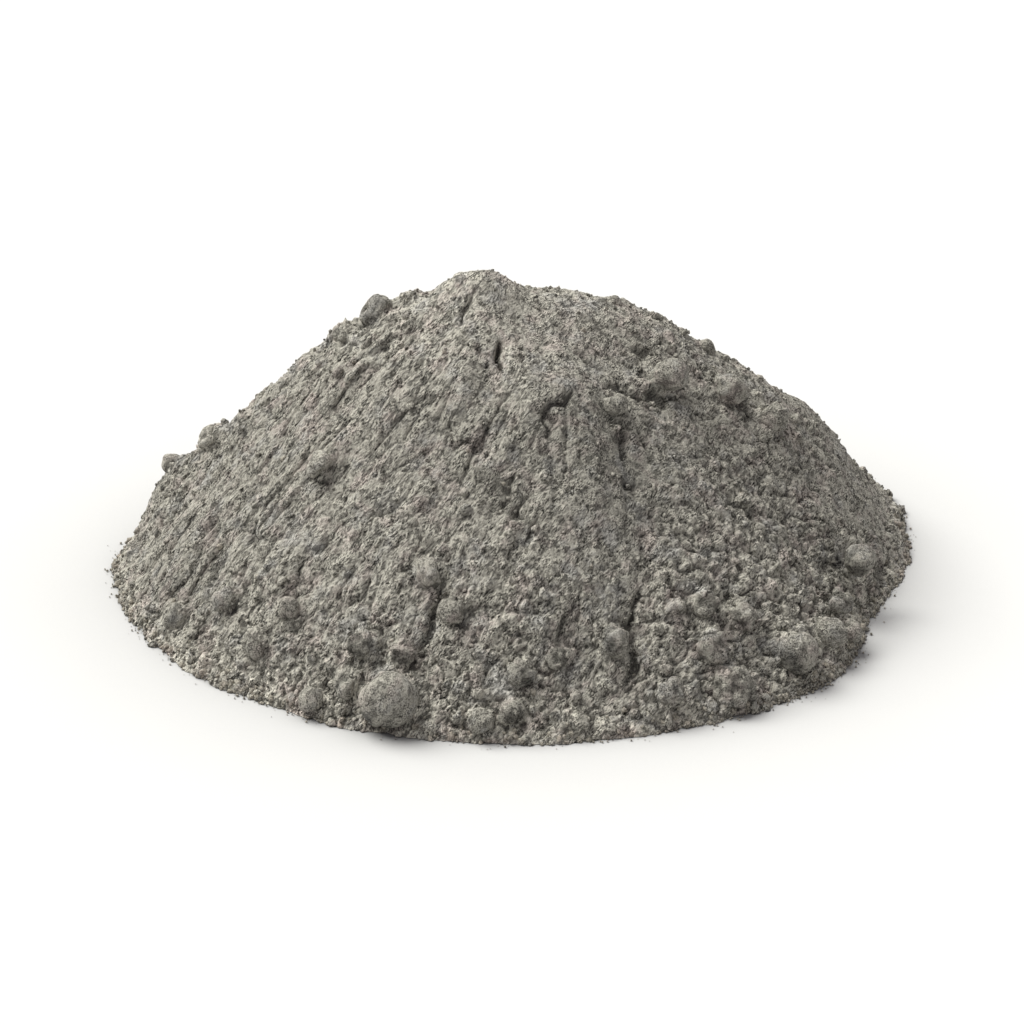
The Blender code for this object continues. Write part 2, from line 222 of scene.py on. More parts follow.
def slopeStreaks(x, y, bearing, s, form):
    # Noise in coordinates that are turned to one of a few bearings and shortened along it. Neighbouring
    # bearings blend by cos(3 off)^2, where off is the angle between the streak's bearing and theirs. The
    # streaks are lower away from their main bearing, and grow over the first fifth of the way out.
    turns, (middle, width, slant) = heapForm["streakTurns"], heapForm["slant"]
    downhill = bearing - np.radians(slant) * nearBearing(bearing, middle, width)
    ridges = 0
    for number in range(turns):
        turn = 2 * np.pi * number / turns
        off = (downhill - turn + np.pi) % (2 * np.pi) - np.pi
        share = np.cos(np.clip(off * turns / 4, -np.pi / 2, np.pi / 2)) ** 2
        along = (x * np.cos(turn) + y * np.sin(turn)) / form["stretch"]
        across = y * np.cos(turn) - x * np.sin(turn)
        ridges = ridges + share * planNoise(along, across, form["spacing"] * mm, form["seed"])
    weakest = heapForm["streakWeakest"]
    strength = weakest + (1 - weakest) * nearBearing(bearing, heapForm["streakBearing"], form["spread"])
    return ridges * strength * np.clip(5 * s, 0, 1)


def powderHeight(x, y):
    # Crown height times 1 - s^fullness, where s is the way out, plus relief that fades out at the toe:
    # streaks, oval swells exp(-a^2 - b^2), steps t exp(-t^2), where t is the distance beside the step
    # over its half width, and lattice noises.
    s, bearing = wayOut(x, y)
    height = heapForm["crownHeight"] * mm * (1 - s ** around(heapForm["fullness"], bearing))
    relief = heapForm["streaks"]["height"] * mm * slopeStreaks(x, y, bearing, s, heapForm["streaks"])
    swells = heapForm["swells"] + heapForm["fineSwells"]
    for middleX, middleY, halfLength, halfWidth, turn, rise in swells:
        c, q = np.cos(np.radians(turn)), np.sin(np.radians(turn))
        dx, dy = x - middleX * mm, y - middleY * mm
        along, across = (c * dx + q * dy) / (halfLength * mm), (c * dy - q * dx) / (halfWidth * mm)
        relief = relief + rise * mm * np.exp(-(along**2) - across**2)
    for path, halfWidth, rise in heapForm["steps"]:
        beside, ends = besidePath(x, y, path)
        out = beside / (halfWidth * mm)
        relief = relief + rise * mm * ends * out * bell(out)
    for spacing, depth, seed in heapForm["roughness"]:
        relief = relief + depth * mm * planNoise(x, y, spacing * mm, seed)
    return height + relief * np.clip((1 - s) / heapForm["toeFade"], 0, 1)


def cellValue(cell, seed):
    # A repeatable value from 0 to 1 for each whole-number cell: its three numbers are multiplied by large
    # primes and mixed by shifts and products, and the low 32 bits are read as a share.
    mixed = (cell[..., 0] * 73856093) ^ (cell[..., 1] * 19349663) ^ (cell[..., 2] * 83492791)
    mixed = (mixed ^ (seed * 1640531513)) & 0xFFFFFFFF
    for _ in range(2):
        mixed = ((mixed ^ (mixed >> 16)) * 73244475) & 0xFFFFFFFF
    return (mixed ^ (mixed >> 16)) / 0xFFFFFFFF


def smoothNoise(points, spacing, seed):
    # Values from -1 to 1 at the corners of a cubic lattice, blended by 6t^5 - 15t^4 + 10t^3.
    cells = np.floor(points / spacing).astype(np.int64)
    t = points / spacing - cells
    t = t**3 * (t * (6 * t - 15) + 10)
    total = 0
    for corner in np.ndindex(2, 2, 2):
        share = np.where(corner, t, 1 - t).prod(-1)
        total = total + share * cellValue(cells + corner, seed)
    return 2 * total - 1


def roughNoise(points, spacing, octaves, seed):
    # Smooth noises added up, each of half the spacing and half the height of the one before.
    return sum(smoothNoise(points, spacing / 2**n, seed + n) / 2**n for n in range(octaves))


def unit(vectors):
    # Each vector over its length.
    return vectors / np.maximum(np.linalg.norm(vectors, axis=-1, keepdims=True), 1e-12)


def gridNormals(points):
    # The cross product of the steps to the neighbours along the two directions of the grid.
    return unit(np.cross(np.gradient(points, axis=1), np.gradient(points, axis=0)))


# Grooves in the slopes, in mm: how deep each is, its half width and the points that it runs through.
slopeGrooves = (
    (5.0, 1.3, ((-3, -18), (-4, -22), (-4, -26))),  # the crack under the apex
    (1.6, 0.9, ((3, -20), (3, -24))),
    (1.2, 1.0, ((-12, -4), (-14, -8), (-17, -12))),  # beside the apex
    (1.5, 1.3, ((-18, -42), (-16, -48), (-10, -47), (-7, -42))),
    (2.6, 1.4, ((18, -31), (14, -37), (11, -41), (9, -45))),  # the foot of the tongue
    (1.7, 1.5, ((0, -56), (-2, -60), (-5, -64))),
    (1.5, 1.4, ((2, -62), (3, -66))),
    (1.5, 1.4, ((5, -69), (4, -73))),
    (1.9, 1.4, ((31, -32), (32, -39), (32, -45))),  # down the front right
    (1.4, 1.3, ((34, -47), (35, -53))),
    (2.4, 1.5, ((36, -76), (34, -79), (33, -85), (33, -90), (31, -95))),
    (1.2, 1.2, ((30, -97), (38, -95))),
    (1.9, 1.2, ((26, -22), (32, -19), (38, -19), (45, -17), (53, -12))),  # along and under the ledge
    (1.3, 1.5, ((40, -30), (46, -30))),
    (3.0, 1.8, ((70, 3), (71, -6))),
    (1.6, 1.6, ((35, -5), (42, -4))),
    (1.9, 1.6, ((-93, -2), (-86, -1), (-78, -1))),  # under the left ridge
    (1.7, 1.5, ((-33, -9), (-39, -12), (-44, -13), (-48, -14))),  # down the left flank
    (1.6, 1.3, ((-34, -18), (-35, -23), (-37, -27))),
    (1.5, 1.5, ((-48, 2), (-51, -2))),
    (1.5, 1.4, ((-54, -4), (-61, -7))),
    (1.2, 1.4, ((-51, -49), (-52, -60))),
    (1.4, 1.4, ((-74, -42), (-76, -50))),
    (1.8, 1.5, ((-87, -32), (-90, -37), (-95, -40), (-100, -40))),
    (1.5, 1.4, ((-84, -44), (-89, -49))),
    (1.5, 1.4, ((-96, -20), (-101, -22), (-109, -22))),
    (1.4, 1.4, ((-97, -4), (-100, -7))),
    (1.5, 1.6, ((-60, -61), (-61, -66), (-63, -71))),
    (2.0, 1.5, ((-20, -80), (-22, -84), (-25, -89), (-28, -93))),  # right of the front ball
    (1.2, 1.1, ((16, -82), (16, -86), (14, -91), (10, -95), (5, -98))),  # round the front bulge
    (2.4, 1.6, ((117, 0), (110, -21), (103, -36))),  # along the right toe
    (1.3, 1.4, ((59, -43), (72, -35), (85, -24), (92, -19))),  # behind the terraces
    (1.4, 1.4, ((91, -34), (99, -25), (106, -14))),
    (1.6, 1.8, ((80, -37), (85, -33))),
    (1.6, 1.6, ((95, -36), (95, -41))),
)
grooveBank = 1.3  # how many half widths from a groove's middle the clods keep away
grooveWander = (3.2, 1.5, 31)  # the spacing, the width and the seed of the grooves' bends


def grooveRelief(x, y):
    # Each groove is depth exp(-t^2) deep, where t is the distance beside it over its half width. To its
    # ends it shrinks to about half its depth and width. Places are moved a little by noise, so that a
    # groove wanders. The second value is how bare of clods the powder is in and beside the grooves.
    spacing, wander, seed = grooveWander
    moves = [wander * mm * planNoise(x, y, spacing * mm, seed + n) for n in range(2)]
    x, y = x + moves[0], y + moves[1]
    depth, bare = np.zeros(x.shape), np.zeros(x.shape)
    for cut, halfWidth, path in slopeGrooves:
        beside, ends = besidePath(x, y, path)
        t = beside / (halfWidth * mm * (0.55 + 0.45 * ends))
        depth = np.maximum(depth, cut * mm * (0.5 + 0.5 * ends) * bell(t))
        bare = np.maximum(bare, bell(t / grooveBank))
    return depth, bare


# The powder's skin: a square grid drawn to the heap's round plan, in four quarters. Sizes are diameters
# in mm, lift is how far a clod's middle stands off the slope as a share of its radius, and coarse is how
# much denser the clods lie in the coarse zones, whose rows are middle x, y, radius and weight.
powderSkin = {
    "cells": 544,
    "frontShare": 0.12,
    "fades": (0.03, 0.01),  # how near the toe the relief and the clods fade out
    "toeWander": {"width": 1.1, "spacing": 7, "octaves": 3, "from": 0.9, "over": 0.1, "seed": 51},
    "lowest": 0.05,  # the least height over the floor inside the toe
    "streaks": (
        {"spacing": 3.4, "stretch": 3.6, "height": 1.16, "spread": 50, "seed": 21},
        {"spacing": 1.8, "stretch": 3.0, "height": 0.46, "spread": 70, "seed": 22},
        {"spacing": 0.9, "stretch": 2.0, "height": 0.33, "spread": 170, "seed": 23},
    ),
    "streakLoss": 0.5,  # how much of the streaks is taken away in the coarse zones
    "clods": (
        {"count": 60, "size": (5.5, 9.0), "lift": (-0.74, -0.52),
         "coarse": 60, "warp": (5.0, 1.8), "seed": 11},
        {"count": 300, "size": (3.4, 5.4), "lift": (-0.74, -0.42),
         "coarse": 50, "warp": (3.0, 1.3), "seed": 17},
        {"count": 1000, "size": (1.8, 3.2), "lift": (-0.74, -0.44),
         "coarse": 18, "warp": (1.6, 0.8), "seed": 13},
        {"count": 4500, "size": (0.9, 1.8), "lift": (-0.60, -0.2),
         "coarse": 8, "warp": (0.9, 0.4), "seed": 14},
    ),
    "bareShare": 0.6,  # how much of the clods is taken away in the grooves
    "coarseZones": (
        (78, -62, 30, 1.0),
        (55, -84, 20, 1.0),
        (0, -98, 26, 0.9),
        (-45, -90, 24, 0.55),
        (-78, -66, 18, 0.35),
        (95, -25, 26, 0.6),
        (62, 8, 26, 0.5),
        (-45, 5, 20, 0.5),
        (-96, 4, 18, 0.5),
    ),
    "toeZone": (0.05, 0.7),  # its width as a share of the way out, and weight
    "puffs": (4.2, 0.85, 3, 31),  # spacing, height, octaves and seed of the puffy relief
    "grain": (3.2, 0.5, 3, 41),  # and of the even relief
    "evenShare": (0.22, 1.15),  # of both, on plain slopes and added in the coarse zones
    "pits": {"count": 700, "size": (0.8, 1.7), "depth": 0.40, "seed": 15, "edge": 0.97, "reach": 5},
    # The crown's paleness is painted light: it stands in for the top catching more of the light.
    "palest": (0.30, 2.1, 1.8),  # the way out and tone of the pale crown, and the coarse zones' tone
    # The toe's paleness is partly its own paler powder and partly painted light, as the toe catches light
    # from the floor.
    "paleToeAndLight": (0.05, 2.1),  # the width of the pale toe, as a share of the way out, and its tone
    # Painted shade: these zones are painted darker, to deepen the shade at the fold on the front right,
    # in the middle front and low on the left flank.
    "paintedShadeZones": (  # middle x, y, radius and tone
        (28, -44, 17, -2.2),
        (-18, -40, 14, -0.7),
        (-104, -38, 14, -0.9),
    ),
}


def planGrid(cells, frontShare):
    # Rows t from -1 to 1 are moved to t - frontShare (1 - t^2), and the square is drawn to a disc by
    # u = x sqrt(1 - y^2 / 2), v = y sqrt(1 - x^2 / 2). The disc's rim is the toe.
    across, t = np.meshgrid(np.linspace(-1, 1, cells + 1), np.linspace(-1, 1, cells + 1))
    along = t - frontShare * (1 - t**2)
    u, v = across * np.sqrt(1 - along**2 / 2), along * np.sqrt(1 - across**2 / 2)
    s, bearing = np.hypot(u, v), np.arctan2(v, u)
    reach = toeAt(bearing)
    x, y = fromCrown(s * reach, bearing)
    return x, y, s, bearing


def blurGrid(values, times):
    # Each value takes the mean of itself and its four neighbours, several times over.
    for _ in range(times):
        edged = np.pad(values, ((1, 1), (1, 1)) + ((0, 0),) * (values.ndim - 2), mode="edge")
        rows, columns = edged[:, 1:-1], edged[1:-1]
        values = (rows[1:-1] + rows[:-2] + rows[2:] + columns[:, :-2] + columns[:, 2:]) / 5
    return values


def cellArea(points):
    # The area of a grid cell, the length of the cross product of its two sides.
    return np.linalg.norm(np.cross(np.gradient(points, axis=0), np.gradient(points, axis=1)), axis=-1)


def addZones(total, x, y, zones):
    # The total plus weight exp(-(distance / radius)^2) about the middle of each zone.
    for middleX, middleY, radius, weight in zones:
        total = total + weight * bell(np.hypot(x - middleX * mm, y - middleY * mm) / (radius * mm))
    return total


def coarseness(x, y, s):
    # Bell curves about each coarse zone and along the toe, added up and cut off at 1.
    width, weight = powderSkin["toeZone"]
    return np.minimum(addZones(weight * bell((1 - s) / width), x, y, powderSkin["coarseZones"]), 1)


def drawSeats(rng, weight, count):
    # Grid rows and columns, drawn with chances in proportion to the weights.
    chances = (weight / weight.sum()).ravel()
    return np.unravel_index(rng.choice(weight.size, count, p=chances), weight.shape)


def windows(a, b, reach, shape):
    # The grid rows and columns of a square window about each seat, and which of them lie on the grid.
    da, db = (d.ravel() for d in np.mgrid[-reach : reach + 1, -reach : reach + 1])
    wa, wb = a[:, None] + da, b[:, None] + db
    inside = (wa >= 0) & (wa < shape[0]) & (wb >= 0) & (wb < shape[1])
    return wa.clip(0, shape[0] - 1), wb.clip(0, shape[1] - 1), inside


# How the clods lie and how they are shaped.
clodForm = {
    "edge": 0.992,  # where they end on the way out
    "smaller": 1.8,  # the power that makes most of them small
    "across": (0.75, 1.3),  # how much they are narrowed across the slope and drawn out along it
    "uphill": 0.72,  # how much the distance along the slope counts on each side
    "downhill": 1.05,
    "cell": 0.42,  # about the size of a grid cell, in mm
}


def raiseClods(points, normals, s, row):
    # Clods are half-sunk balls: over a ball of radius r whose middle lies at c from the slope, the skin
    # is raised to c + sqrt(r^2 - l^2), where l is the distance along the slope, shortened uphill so that
    # powder banks up there. Positions are wobbled by noise first, which makes the outlines uneven. With u
    # random from 0 to 1, a size is low + (high - low) u^smaller.
    rng = np.random.default_rng(row["seed"])
    coarse = coarseness(points[..., 0], points[..., 1], s)
    weight = cellArea(points) * (1 + row["coarse"] * coarse) * (s < clodForm["edge"])
    a, b = drawSeats(rng, weight, row["count"])
    low, high = row["size"]
    radius = (low + (high - low) * rng.uniform(0, 1, row["count"]) ** clodForm["smaller"]) * mm / 2
    middle = radius * rng.uniform(*row["lift"], row["count"])
    slimness = rng.uniform(*clodForm["across"], row["count"])[:, None]
    spacing, wobble = row["warp"]
    warp = np.stack([smoothNoise(points, spacing * mm, row["seed"] + 20 * n) for n in range(3)], axis=-1)
    warped = points + warp * wobble * mm
    reach = int(np.ceil(high / 2 / clodForm["cell"]))
    wa, wb, inside = windows(a, b, reach, s.shape)
    offset = warped[wa, wb] - warped[a, b][:, None]
    up = normals[a, b][:, None]
    uphill = unit(np.array([0, 0, 1.0]) - up * up[..., 2:])
    climb = (offset * uphill).sum(-1)
    climb = np.where(climb > 0, climb * clodForm["uphill"], climb * clodForm["downhill"]) / slimness
    sideways = (offset * np.cross(uphill, up)).sum(-1) * slimness
    ball = radius[:, None] ** 2 - climb**2 - sideways**2
    height = middle[:, None] + np.sqrt(np.maximum(ball, 0))
    height = np.where(inside & (ball > 0), np.maximum(height, 0), 0)
    raised = np.zeros(s.shape)
    np.maximum.at(raised, (wa, wb), height)
    return raised


def sinkPits(points, s, form):
    # Small hollows between clods, each 2 depth r exp(-(l / r)^2) deep, where r is its radius and l is the
    # distance from its middle.
    rng = np.random.default_rng(form["seed"])
    a, b = drawSeats(rng, cellArea(points) * (s < form["edge"]), form["count"])
    radius = rng.uniform(*form["size"], form["count"]) * mm / 2
    wa, wb, inside = windows(a, b, form["reach"], s.shape)
    away = np.linalg.norm(points[wa, wb] - points[a, b][:, None], axis=-1) / radius[:, None]
    depth = form["depth"] * 2 * radius[:, None] * bell(away) * inside
    sunk = np.zeros(s.shape)
    np.maximum.at(sunk, (wa, wb), depth)
    return sunk


def lumpSeats():
    # The middle and mean radius of every caked lump, from the frame.
    seats = []
    for name in lumpNames:
        low, high = (np.array(corner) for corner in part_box(name))
        seats.append((*(low + high) / 2, (high - low).mean() / 2))
    return np.array(seats)


# How powder lies about the caked lumps, as shares of a lump's radius.
powderBank = {
    "uphill": 0.58,
    "downhill": 0.16,
    "start": 0.84,
    "slope": 0.80,
    "moat": 0.15,
    "moatAt": 1.1,
    "moatWidth": 0.12,
}


def bankRelief(points, normals):
    # A bank leans on each lump: at the distance e from its middle, over its radius, the bank's height is
    # its height at the lump less slope (e - start), and never under 0. The height at the lump runs from
    # downhill to uphill with f, how far uphill the point lies. A moat, moat exp(-((e - moatAt) /
    # moatWidth)^2) deep, cuts it off from the lump on the downhill side.
    total = np.zeros(points.shape[:-1])
    for *middle, radius in lumpSeats():
        offset = points - middle
        distance = np.linalg.norm(offset, axis=-1)
        e = distance / radius
        up = np.array([0, 0, 1.0]) - normals * normals[..., 2:]
        f = ((offset * unit(up)).sum(-1) / np.maximum(distance, 1e-9) + 1) / 2
        top = powderBank["downhill"] + (powderBank["uphill"] - powderBank["downhill"]) * f
        bank = np.maximum(top - powderBank["slope"] * np.maximum(e - powderBank["start"], 0), 0)
        moat = powderBank["moat"] * bell((e - powderBank["moatAt"]) / powderBank["moatWidth"]) * (1 - f)
        total = np.maximum(total, radius * (bank - moat))
    return total


creaseSoftness = 0.25  # the noise over which a crease rises to its flat top


def creased(values):
    # Flat tops with sharp creases where the values pass 0: 1 - exp(-|v| / creaseSoftness).
    return 1 - np.exp(-np.abs(values) / creaseSoftness)


def puffRelief(points, form):
    # Creased noises added up, each of half the spacing and half the height of the one before.
    spacing, height, octaves, seed = form
    noises = (smoothNoise(points, spacing * mm / 2**n, seed + n) for n in range(octaves))
    puffs = sum(creased(values) / 2**n for n, values in enumerate(noises))
    return height * mm * (puffs - puffs.mean())


def skinSurface(form):
    # The heap's height over its plan, then relief along the normal: grooves, banks about the lumps, fine
    # streaks, puffs, clods on clods, pits and grain. It fades out at the very toe, on the floor. The last
    # value is the powder's tone, which bell curves make paler at the crown, as painted light on the top;
    # paler at the toe, partly its own paler powder and partly painted light; paler in the coarse zones;
    # and darker in the shade zones, as painted shade on flanks that turn from the light.
    x, y, s, bearing = planGrid(form["cells"], form["frontShare"])
    rim, edge = (np.clip((1 - s) / width, 0, 1) for width in form["fades"])
    points = np.stack((x, y, powderHeight(x, y)), axis=-1)
    normals = gridNormals(points)
    bank = bankRelief(points, normals)
    coarse = coarseness(x, y, s)
    groove, bare = grooveRelief(x, y)
    spacing, depth, octaves, seed = form["grain"]
    grain = depth * mm * roughNoise(points, spacing * mm, octaves, seed)
    even = puffRelief(points, form["puffs"]) + grain
    height = bank + even * (form["evenShare"][0] + form["evenShare"][1] * coarse)
    for streaks in form["streaks"]:
        puffs = creased(slopeStreaks(x, y, bearing, s, streaks))
        puffs = streaks["height"] * mm * (puffs - puffs.mean())
        height = height + puffs * (1 - form["streakLoss"] * coarse)
    height = (height - groove - sinkPits(points, s, form["pits"])) * rim
    for row in form["clods"]:
        raised = raiseClods(points, normals, s, row)
        height = height + (raised * (1 - form["bareShare"] * bare) - raised.mean() * rim) * edge
    points = points + normals * height[..., None]
    bends = form["toeWander"]
    outward = np.stack((np.cos(bearing), np.sin(bearing), 0 * s), axis=-1)
    wander = roughNoise(points * (1, 1, 0), bends["spacing"] * mm, bends["octaves"], bends["seed"])
    wander = wander * np.clip((s - bends["from"]) / bends["over"], 0, 1)
    points = points + outward * (wander * bends["width"] * mm)[..., None]
    points[..., 2] = np.where(s > 0.9999, 0, np.maximum(points[..., 2], form["lowest"] * mm))
    width, paintedCrownLight, coarseTone = form["palest"]
    toeWidth, paleToeAndLight = form["paleToeAndLight"]
    tone = paintedCrownLight * bell(s / width) + coarseTone * coarse
    tone = tone + paleToeAndLight * bell((1 - s) / toeWidth)
    return points, s, addZones(tone, x, y, form["paintedShadeZones"])


# Painted shade: the materials darken the powder in these hollows.
# How many times over the surface is blurred for its fine and its wide hollows, and the wide ones' share.
cavityBlur = {"fine": 14, "wide": 60, "wideShare": 0.5}


def cavityOf(points, normals):
    # How far each point stands out from the blurred surface, and a share of how far that one stands out
    # from a more blurred one, in mm. Where it is low, the materials paint shade into the hollow.
    near = blurGrid(points, cavityBlur["fine"])
    away = points - near + cavityBlur["wideShare"] * (near - blurGrid(near, cavityBlur["wide"]))
    return (away * normals).sum(-1) / mm


def blockFaces(rows, columns):
    # A grid's two triangles a cell, walls from its rim down to a ring of floor points, and a fan that
    # closes the underside to its middle.
    index = np.arange(rows * columns).reshape(rows, columns)
    near, far = index[:-1], index[1:]
    a, b, c, d = (side.ravel() for side in (near[:, :-1], near[:, 1:], far[:, 1:], far[:, :-1]))
    rim = np.concatenate((index[0, :-1], index[:-1, -1], index[-1, :0:-1], index[:0:-1, 0]))
    foot = rows * columns + np.arange(len(rim))
    rimNext, footNext = np.roll(rim, -1), np.roll(foot, -1)
    middle = np.full(rim.shape, rows * columns + len(rim))
    faces = [(a, b, c), (a, c, d)]
    faces += [(rim, foot, footNext), (rim, footNext, rimNext), (foot, middle, footNext)]
    return np.concatenate([np.stack(face, axis=1) for face in faces]), rim


def addValues(mesh, values):
    # One value a point for each attribute, which the materials read.
    for key, column in values.items():
        layer = mesh.attributes.new(key, "FLOAT", "POINT")
        layer.data.foreach_set("value", np.asarray(column, np.float32).ravel())


def meshObject(name, points, faces, material, values):
    # Points and faces as whole arrays, smooth shaded.
    mesh = bpy.data.meshes.new(name)
    mesh.from_pydata(points, [], faces)
    mesh.update()
    mesh.shade_smooth()
    addValues(mesh, values)
    mesh.materials.append(material)
    piece = bpy.data.objects.new(name, mesh)
    bpy.context.scene.collection.objects.link(piece)
    return piece


def addSkinQuarter(name, rows, columns):
    # One quarter of the skin is a closed block with a flat underside. It keeps the whole skin's normals
    # along its cuts, so that no seam shows.
    top = skinPoints[rows, columns]
    faces, rim = blockFaces(*top.shape[:2])
    flat = top.reshape(-1, 3)
    foot = flat[rim] * (1, 1, 0)
    points = np.concatenate((flat, foot, foot.mean(0, keepdims=True)))
    cavity = np.concatenate((skinCavity[rows, columns].ravel(), np.zeros(len(foot) + 1)))
    tone = np.concatenate((skinToneAndPaintedLight[rows, columns].ravel(), np.zeros(len(foot) + 1)))
    quarter = meshObject(name, points, faces, loosePowder, {"cavity": cavity, "tone": tone})
    floorward = np.tile((0, 0, -1.0), (len(foot) + 1, 1))
    normals = np.concatenate((skinNormals[rows, columns].reshape(-1, 3), floorward))
    quarter.data.normals_split_custom_set_from_vertices(normals)
    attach(quarter, "root")
    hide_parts("powder_heap")


# Powder colours are in linear light. Sizes are in mm. A range is the two values of a noise or an
# attribute between which it counts, and shades are the brightness at its ends.
powderColours = {
    "grey": (0.294, 0.282, 0.246),
    "rosy": (0.308, 0.276, 0.249),
    "cool": (0.284, 0.277, 0.257),
    "patch": 7,
    "rosyRange": (0.50, 0.66),
    "coolRange": (0.52, 0.68),
    "cloud": 7,
    "cloudRange": (0.3, 0.7),
    "cloudShades": (0.94, 1.06),
    "rough": 4.5,  # the size of the rough and the smooth areas
    "roughRange": (0.42, 0.60),
    "grain": 0.37,
    "grainRange": (0.34, 0.60),
    "smoothGrain": (0.62, 1.18, 0.50),  # lowest and highest tone of the grain, and share of its bump
    "roughGrain": (0.10, 1.48, 1.0),
    # Painted shade: pores and creases are sunk by the bump and painted darker, as the shade in them.
    "pore": 1.15,
    "poreRange": (0.40, 0.43),  # where a pore is deepest and where it ends
    "paintedPoreShade": 0.42,
    "poreDepth": 0.30,
    "crease": 3.4,
    "creaseWidth": 0.045,
    "unbrokenRange": (0.46, 0.56),  # where the creases give out
    # Painted shade: the cavity value darkens the powder in the hollows, as the shade there.
    "cavityRange": (-0.55, -0.05),
    "paintedHollowShades": (0.45, 1.0),
    "toneRange": (-2.0, 3.0),
    "toneShades": (0.68, 1.48),
    "drawnTo": (-0.60, -0.53, -0.60),  # the direction that pores and specks are drawn out along
    "drawnShare": 0.6,
    "noiseRoughness": 0.6,
    "shader": {"Roughness": 0.95, "Specular IOR Level": 0.2, "Diffuse Roughness": 0.3},
}


def powderMaterial(name, colours, lightness, bump):
    # Three near greys in wide soft patches, darker and lighter clouds, fine grain that is strong in rough
    # areas and faint in smooth ones and, as it follows the bump's noise, partly painted shade in its
    # pits, sunken pores and creases darkened with painted shade, painted shade in the hollows that the
    # mesh's cavity value marks, and the mesh's tone, which is each crumb's own and holds painted light
    # and shade on
    # the skin and lumps. A crease lies where a noise is near 0.5. Grain, pores and creases are drawn out:
    # they are read at p - drawnShare (p . d) d, where d is the direction that they are drawn along.
    material = bpy.data.materials.new(name)
    material.use_nodes = True
    tree = material.node_tree
    shader = tree.nodes["Principled BSDF"]
    for key, value in colours["shader"].items():
        shader.inputs[key].default_value = value
    link = tree.links.new
    place = tree.nodes.new("ShaderNodeTexCoord").outputs["Object"]

    def feed(inputs, values):
        # Each input is linked to an output, or set to a value.
        for socket, value in zip(inputs, values):
            if isinstance(value, bpy.types.NodeSocket):
                link(value, socket)
            else:
                socket.default_value = value

    def vectorMath(operation, first, second):
        node = tree.nodes.new("ShaderNodeVectorMath")
        node.operation = operation
        feed(node.inputs, (first, second))
        return node.outputs["Value" if operation == "DOT_PRODUCT" else "Vector"]

    along = vectorMath("DOT_PRODUCT", place, colours["drawnTo"])
    shrink = tuple(colours["drawnShare"] * part for part in colours["drawnTo"])
    drawn = vectorMath("SUBTRACT", place, vectorMath("MULTIPLY", along, shrink))

    def noise(size, detail, seed, where=place):
        node = tree.nodes.new("ShaderNodeTexNoise")
        node.noise_dimensions = "4D"
        node.inputs["W"].default_value = seed
        node.inputs["Scale"].default_value = 1 / (size * mm)
        node.inputs["Detail"].default_value = detail
        node.inputs["Roughness"].default_value = colours["noiseRoughness"]
        link(where, node.inputs["Vector"])
        return node.outputs["Fac"]

    def spread(value, low, high, toLow, toHigh):
        node = tree.nodes.new("ShaderNodeMapRange")
        keys = ("Value", "From Min", "From Max", "To Min", "To Max")
        feed((node.inputs[key] for key in keys), (value, low, high, toLow, toHigh))
        return node.outputs["Result"]

    def blend(share, first, second):
        node = tree.nodes.new("ShaderNodeMix")
        node.data_type = "RGBA"
        feed((node.inputs["Factor"], node.inputs[6], node.inputs[7]), (share, first, second))
        return node.outputs[2]

    def compute(operation, first, second=0.0):
        node = tree.nodes.new("ShaderNodeMath")
        node.operation = operation
        feed(node.inputs, (first, second))
        return node.outputs[0]

    def times(first, second):
        return compute("MULTIPLY", first, second)

    def attribute(key):
        node = tree.nodes.new("ShaderNodeAttribute")
        node.attribute_name = key
        return node.outputs["Fac"]

    hues = (colours[key] for key in ("grey", "rosy", "cool"))
    grey, rosy, cool = ((*(part * lightness for part in hue), 1) for hue in hues)
    warm = blend(spread(noise(colours["patch"], 3, 1.0), *colours["rosyRange"], 0, 1), grey, rosy)
    tint = blend(spread(noise(colours["patch"], 3, 5.0), *colours["coolRange"], 0, 1), warm, cool)
    tone = spread(noise(colours["cloud"], 4, 9.0), *colours["cloudRange"], *colours["cloudShades"])
    rough = spread(noise(colours["rough"], 2, 13.0), *colours["roughRange"], 0, 1)
    pairs = zip(colours["smoothGrain"], colours["roughGrain"])
    low, high, share = (spread(rough, 0, 1, *pair) for pair in pairs)
    # The grain's tone follows the same noise as its bump, so it is darker in the bump's pits: random
    # grain, partly painted shade.
    grain = noise(colours["grain"], 1, 17.0, drawn)
    tone = times(tone, spread(grain, *colours["grainRange"], low, high))
    pores = spread(noise(colours["pore"], 2, 21.0, drawn), *colours["poreRange"], 0, 1)
    lines = compute("SUBTRACT", noise(colours["crease"], 2, 25.0, drawn), 0.5)
    lines = spread(compute("ABSOLUTE", lines), 0, colours["creaseWidth"], 0, 1)
    unbroken = spread(noise(colours["rough"], 2, 29.0), *colours["unbrokenRange"], 1, 0)
    # Pores and creases: sunk by the bump and darkened with painted shade.
    sunk = times(pores, compute("MAXIMUM", lines, unbroken))
    tone = times(tone, spread(sunk, 0, 1, colours["paintedPoreShade"], 1))
    paintedShadeInHollows = spread(attribute("cavity"), *colours["cavityRange"], *colours["paintedHollowShades"])
    # The mesh's tone: random for each crumb, and painted light and painted shade on the skin and lumps.
    meshToneAndPaintedLight = spread(attribute("tone"), *colours["toneRange"], *colours["toneShades"])
    tone = times(times(tone, paintedShadeInHollows), meshToneAndPaintedLight)
    link(vectorMath("MULTIPLY", tint, tone), shader.inputs["Base Color"])
    height = times(grain, share)
    for value, depth in ((height, bump), (sunk, colours["poreDepth"])):
        relief = tree.nodes.new("ShaderNodeBump")
        relief.inputs["Strength"].default_value = 1.0
        relief.inputs["Distance"].default_value = depth * mm
        link(value, relief.inputs["Height"])
        if shader.inputs["Normal"].is_linked:
            link(shader.inputs["Normal"].links[0].from_socket, relief.inputs["Normal"])
        link(relief.outputs["Normal"], shader.inputs["Normal"])
    return material


